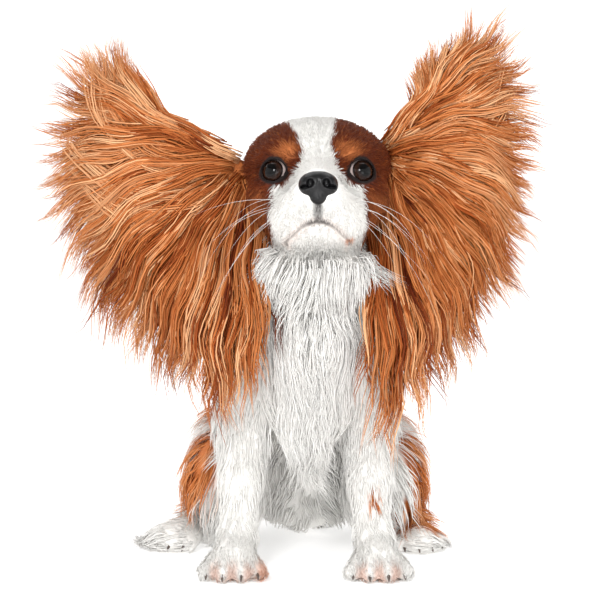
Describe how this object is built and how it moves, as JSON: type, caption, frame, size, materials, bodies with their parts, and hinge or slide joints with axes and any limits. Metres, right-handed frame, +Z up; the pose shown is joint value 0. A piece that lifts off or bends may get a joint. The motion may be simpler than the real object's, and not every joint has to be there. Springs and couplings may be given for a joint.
{
  "type": "sitting cavalier king charles spaniel",
  "caption": "Life-size sitting toy spaniel, chestnut and white, facing ahead with both long-haired ears spread like wings.",
  "frame": {"origin": "on the floor, at the middle of the footprint of the whole dog", "axes": "+Z up, -Y ahead of the dog, +X to the dog's left"},
  "size_m": [0.4336, 0.3986, 0.4549],
  "materials": {
    "chestnut_fur": "silky fur",
    "white_fur": "silky fur",
    "nose_leather": "moist, pebbled",
    "eye": "wet gloss"
  },
  "bodies": {
    "root": {"head": "white_fur", "nose": "nose_leather", "eye_right": "eye", "eye_left": "eye", "neck": "white_fur", "chest": "white_fur", "torso": "white_fur", "ear_right": "chestnut_fur", "ear_left": "chestnut_fur", "foreleg_right": "white_fur", "foreleg_left": "white_fur", "forepaw_right": "white_fur", "forepaw_left": "white_fur", "thigh_right": "white_fur", "thigh_left": "white_fur", "hind_foot_right": "white_fur", "hind_foot_left": "white_fur", "tail": "white_fur"}
  },
  "joints": []
}
